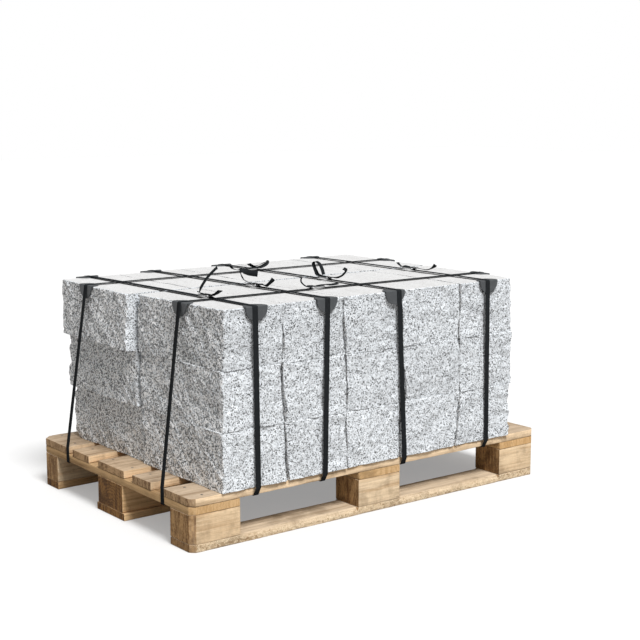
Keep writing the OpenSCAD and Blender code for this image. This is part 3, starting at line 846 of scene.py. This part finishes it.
def end_grain(look, place, axis):
    """The pattern of sawn end grain, from 0 to 1: stains that run down, pores and growth rings."""
    drips = look.noise(look.scaled(place, 1.0, 1.0, 0.18), 75.0, detail=4.0, roughness=0.65)
    pores = look.noise(place, 210.0, detail=3.0, roughness=0.7)
    growth = look.add(
        "ShaderNodeTexWave", {"wave_type": "RINGS", "rings_direction": "XY"[axis]},
        Vector=look.place, Scale=34.0, Distortion=9.0, Detail=3.0, Detail_Scale=1.4,
    ).outputs["Fac"]
    pattern = look.math("ADD", look.times(drips, 0.62), look.times(pores, 0.3))
    return look.math("ADD", pattern, look.times(growth, 0.08))


def torn_fibres(look, place, sides, wood):
    """Dark pits and fresh chips on the sides of torn wood."""
    strands = look.scaled(place, 0.7, 1.0, 1.0)
    fibres = look.noise(strands, 190.0, detail=4.0, roughness=0.7, distortion=0.8)
    pits = look.times(sides, look.rest(look.step(fibres, 0.38, 0.46)))
    chips = look.times(sides, look.step(fibres, 0.52, 0.60))
    wood = look.mix(look.times(pits, 0.75), wood, PIT_COLOUR)
    return look.mix(look.times(chips, 0.7), wood, FRESH_COLOUR)


def timber(name, axis, pale, deep, end_pale, end_deep, side=1.0, torn=False):
    """Sawn softwood with its grain along an axis: streaks, knots, saw marks, end grain, stains.

    pale and deep are its two tones, end_pale and end_deep those of its end grain. side is how much
    lighter its long sides are painted: painted light that lifts them out of their shade, not their
    own colour.
    """
    look = Look(name)
    place, chance = look.own_place()

    def stretched(along, across):
        factors = [across] * 3
        factors[axis] = along
        return look.scaled(place, *factors)

    along = stretched(0.05, 1.0)
    rings = look.noise(along, 60.0, detail=5.0, roughness=0.6, distortion=0.6)
    streaks = look.noise(along, 260.0, detail=3.0, roughness=0.6)
    wood = look.ramp(rings, [(0.30, deep), (0.50, pale), (0.72, shade(pale, 1.15))])
    lines = look.ramp(streaks, [(0.34, grey(0.5, -0.2)), (0.6, grey(1.0))])
    wood = look.mix(0.45, wood, lines, "MULTIPLY")
    knots = look.add("ShaderNodeTexVoronoi", Vector=stretched(0.45, 1.0), Scale=7.0)
    knot = look.rest(look.step(knots.outputs["Distance"], 0.06, 0.15))
    wood = look.mix(look.times(knot, 0.7), wood, KNOT_COLOUR)
    saw_marks = look.noise(stretched(30.0, 4.0), 7.0, detail=3.0, roughness=0.6)
    marks = look.ramp(saw_marks, [(0.35, grey(0.78)), (0.6, grey(1.0))])
    wood = look.mix(0.25, wood, marks, "MULTIPLY")

    # The long sides are lightened by the factor side as painted light. On the deck boards, this
    # lifts the front edge out of the shadow that the stones cast over it.
    sides = look.step(look.facing(1 - axis), 0.55, 0.9)
    wood = look.mix(sides, wood, (side, side * 0.98, side * 0.91, 1), "MULTIPLY")
    end = look.step(look.facing(axis), 0.42, 0.84)
    cut = look.ramp(end_grain(look, place, axis), [(0.41, end_deep), (0.57, end_pale)])
    wood = look.mix(end, wood, cut)
    wood = look.mix(0.8, wood, look.ramp(chance, WOOD_TONES), "MULTIPLY")
    stain = look.step(look.noise(place, 13.0, detail=5.0, roughness=0.65), 0.47, 0.66)
    wood = look.mix(look.times(stain, look.between(end, 0.35, 0.8)), wood, shade(end_deep, 0.6))
    if torn:
        wood = torn_fibres(look, place, sides, wood)
    height = look.math("ADD", streaks, look.times(look.noise(place, 420.0, detail=3.0), 0.6))
    height = look.math("ADD", height, look.times(saw_marks, 0.8))
    return look.finish(
        Base_Color=wood, Roughness=0.82, Normal=look.bump(height, 0.8 * MM, 0.8),
        Specular_IOR_Level=0.25,
    )


# The length of one wave of the strap's emboss
EMBOSS = 3.2 * MM


def strap_weave():
    """Black polyester strap: fine threads along it, a shallow emboss across it."""
    look = Look("woven_strap")
    run = look.add("ShaderNodeAttribute", {"attribute_name": "run"}).outputs["Fac"]
    across = look.add("ShaderNodeAttribute", {"attribute_name": "across"}).outputs["Fac"]
    place = look.add("ShaderNodeCombineXYZ", X=look.times(run, 0.06), Y=across).outputs[0]
    threads = look.noise(place, 1500.0, detail=3.0, roughness=0.6)
    emboss = look.math("SINE", look.times(run, 2 * math.pi / EMBOSS))
    height = look.math("ADD", threads, look.times(emboss, 0.12))
    colour = look.ramp(threads, [(0.3, grey(0.012, 0.2)), (0.7, grey(0.030, 0.2))])
    return look.finish(
        Base_Color=colour, Roughness=0.55, Normal=look.bump(height, 0.25 * MM, 0.6),
        Specular_IOR_Level=0.0,
    )


def moulded_plastic():
    """Black moulded plastic with a fine grain and scuffs."""
    look = Look("moulded_plastic")
    grain = look.noise(look.place, 900.0, detail=2.0)
    scuffs = look.step(look.noise(look.place, 70.0, detail=5.0, roughness=0.7), 0.5, 0.75)
    colour = look.mix(look.times(scuffs, 0.5), grey(0.070, 0.14), grey(0.140, 0.10))
    return look.finish(
        Base_Color=colour, Roughness=look.between(scuffs, 0.45, 0.65),
        Normal=look.bump(grain, 0.12 * MM, 0.5), Specular_IOR_Level=0.3,
    )


def galvanised_steel(name, dark, light):
    """Zinc-plated wire or nails, dulled in patches."""
    look = Look(name)
    patches = look.noise(look.place, 320.0, detail=4.0, roughness=0.6)
    colour = look.ramp(patches, [(0.35, grey(dark, 0.02)), (0.65, grey(light, 0.02))])
    return look.finish(
        Base_Color=colour, Roughness=look.between(patches, 0.28, 0.5), Metallic=1.0,
        Normal=look.bump(patches, 0.1 * MM, 0.4),
    )


# ---------------------------------------------------------------- stage, lights and camera

FLOOR_SIZE = 40
# The floor as the object sees it, and as the camera does: its colour and the glow that lifts it to
# white where nothing shades it
FLOOR_COLOUR = grey(0.4, -0.06)
SHOWN_COLOUR = grey(0.57)
SHOWN_GLOW = 0.3
# The sky's light from the horizon and from straight above
SKY_LOW = 0.18
SKY_HIGH = 0.58
SKY_COLOUR = (1.0, 0.99, 0.975, 1)


def stage():
    """A pale floor, pure white to the camera where nothing shades it."""
    bpy.ops.mesh.primitive_plane_add(size=FLOOR_SIZE)
    floor = bpy.context.object
    floor.name = "floor"
    look = Look("floor")
    rays = look.add("ShaderNodeLightPath").outputs
    shown = look.math("MAXIMUM", rays["Is Camera Ray"], rays["Is Glossy Ray"])
    shown = look.math("MAXIMUM", shown, rays["Is Transmission Ray"])
    plain = look.add("ShaderNodeBsdfDiffuse", Color=FLOOR_COLOUR).outputs[0]
    lit = look.add("ShaderNodeBsdfDiffuse", Color=SHOWN_COLOUR).outputs[0]
    glow = look.add("ShaderNodeEmission", Color=grey(1.0), Strength=SHOWN_GLOW).outputs[0]
    both = look.add("ShaderNodeAddShader", in_0=lit, in_1=glow).outputs[0]
    mixed = look.add("ShaderNodeMixShader", in_0=shown, in_1=plain, in_2=both).outputs[0]
    look.put(look.tree.nodes["Material Output"].inputs["Surface"], mixed)
    floor.data.materials.append(look.material)


def world():
    """Soft light from all round, and white where the camera sees past the floor."""
    sky = bpy.data.worlds.new("studio")
    bpy.context.scene.world = sky
    sky.use_nodes = True
    nodes = Nodes(sky.node_tree)
    place = nodes.add("ShaderNodeTexCoord").outputs["Generated"]
    height = nodes.add("ShaderNodeSeparateXYZ", Vector=place).outputs[2]
    background = sky.node_tree.nodes["Background"]
    nodes.put(background.inputs["Strength"], nodes.between(height, SKY_LOW, SKY_HIGH))
    nodes.put(background.inputs["Color"], SKY_COLOUR)
    white = nodes.add("ShaderNodeBackground", Color=grey(1.0), Strength=1.0).outputs[0]
    seen = nodes.add("ShaderNodeLightPath").outputs["Is Camera Ray"]
    soft = background.outputs[0]
    mixed = nodes.add("ShaderNodeMixShader", in_0=seen, in_1=soft, in_2=white).outputs[0]
    nodes.put(sky.node_tree.nodes["World Output"].inputs["Surface"], mixed)


def sun(name, azimuth, elevation, strength, spread):
    """A soft sun that shines from an azimuth, with 0 from -Y and 90 from +X, and an elevation."""
    light = bpy.data.objects.new(name, bpy.data.lights.new(name, "SUN"))
    light.data.energy = strength
    light.data.angle = math.radians(spread)
    a, e = math.radians(azimuth), math.radians(elevation)
    source = Vector((math.sin(a) * math.cos(e), -math.cos(a) * math.cos(e), math.sin(e)))
    light.rotation_euler = source.to_track_quat("Z", "Y").to_euler()
    bpy.context.scene.collection.objects.link(light)


def camera(place, azimuth, elevation, lens):
    """A camera at a place that stands at an azimuth and elevation as seen from the load."""
    eye = bpy.data.objects.new("camera", bpy.data.cameras.new("camera"))
    eye.data.lens = lens
    eye.location = place
    a, e = math.radians(azimuth), math.radians(elevation)
    look = Vector((-math.sin(a) * math.cos(e), math.cos(a) * math.cos(e), -math.sin(e)))
    eye.rotation_euler = look.to_track_quat("-Z", "Y").to_euler()
    bpy.context.scene.collection.objects.link(eye)
    bpy.context.scene.camera = eye


# ---------------------------------------------------------------- the scene

camera((-2.3068, -3.13, 1.0999), azimuth=-37.61, elevation=9.182, lens=76.66)
world()
stage()
sun("key", azimuth=-8, elevation=55, strength=3.5, spread=20)
bpy.context.scene.view_settings.view_transform = "Standard"

stone = granite()
for name in KERBS:
    kerb(name, stone)

# side lightens the long sides of the deck and stringer boards: painted light.
deck_wood = timber(
    "deck_wood", axis=0, side=1.65,
    pale=(0.54, 0.42, 0.30, 1), deep=(0.31, 0.215, 0.13, 1),
    end_pale=(0.52, 0.345, 0.19, 1), end_deep=(0.21, 0.118, 0.055, 1),
)
stringer_wood = timber(
    "stringer_wood", axis=1, side=1.27,
    pale=(0.50, 0.34, 0.185, 1), deep=(0.24, 0.14, 0.065, 1),
    end_pale=(0.72, 0.49, 0.26, 1), end_deep=(0.56, 0.35, 0.16, 1),
)
block_wood = timber(
    "block_wood", axis=0,
    pale=(0.79, 0.63, 0.455, 1), deep=(0.59, 0.40, 0.235, 1),
    end_pale=(0.53, 0.33, 0.155, 1), end_deep=(0.20, 0.105, 0.042, 1),
)
# A more saturated copy of the block wood, darker in its deep tone and far darker on its end grain.
# It is painted shade for the middle left block, which stands in shade, and the inner bottom boards
# use it too.
shade_painted_wood = timber(
    "shade_painted_wood", axis=0,
    pale=(0.86, 0.60, 0.35, 1), deep=(0.52, 0.31, 0.145, 1),
    end_pale=(0.31, 0.16, 0.052, 1), end_deep=(0.085, 0.036, 0.011, 1),
)
torn_wood = timber(
    "torn_wood", axis=0, torn=True,
    pale=(0.70, 0.57, 0.42, 1), deep=(0.54, 0.41, 0.275, 1),
    end_pale=(0.38, 0.225, 0.10, 1), end_deep=(0.15, 0.08, 0.03, 1),
)
for name in DECK:
    plank(name, 0, deck_wood)
for name in STRINGERS:
    plank(name, 1, stringer_wood)
for name in BOTTOM:
    torn = name == BOTTOM[0]
    wood = torn_wood if torn else shade_painted_wood
    plank(
        name, 0, wood, spacing=4 * MM, across=5 * MM, bevelled=True, torn=torn,
    )
for name in BLOCKS:
    # The middle left block takes the copy with painted shade.
    wood = shade_painted_wood if name == BLOCKS[3] else block_wood
    plank(name, 0, wood, across=14 * MM)

steel = galvanised_steel("galvanised_wire", dark=0.38, light=0.62)
nail_heads(galvanised_steel("dull_nails", dark=0.09, light=0.22))
weave = strap_weave()
for name in STRAPS:
    strap(name, weave)

plastic = moulded_plastic()
for name in PROTECTORS + ["wire_buckles"]:
    node = frame["nodes"][name]
    node.data.materials.clear()
    node.data.materials.append(steel if name == "wire_buckles" else plastic)
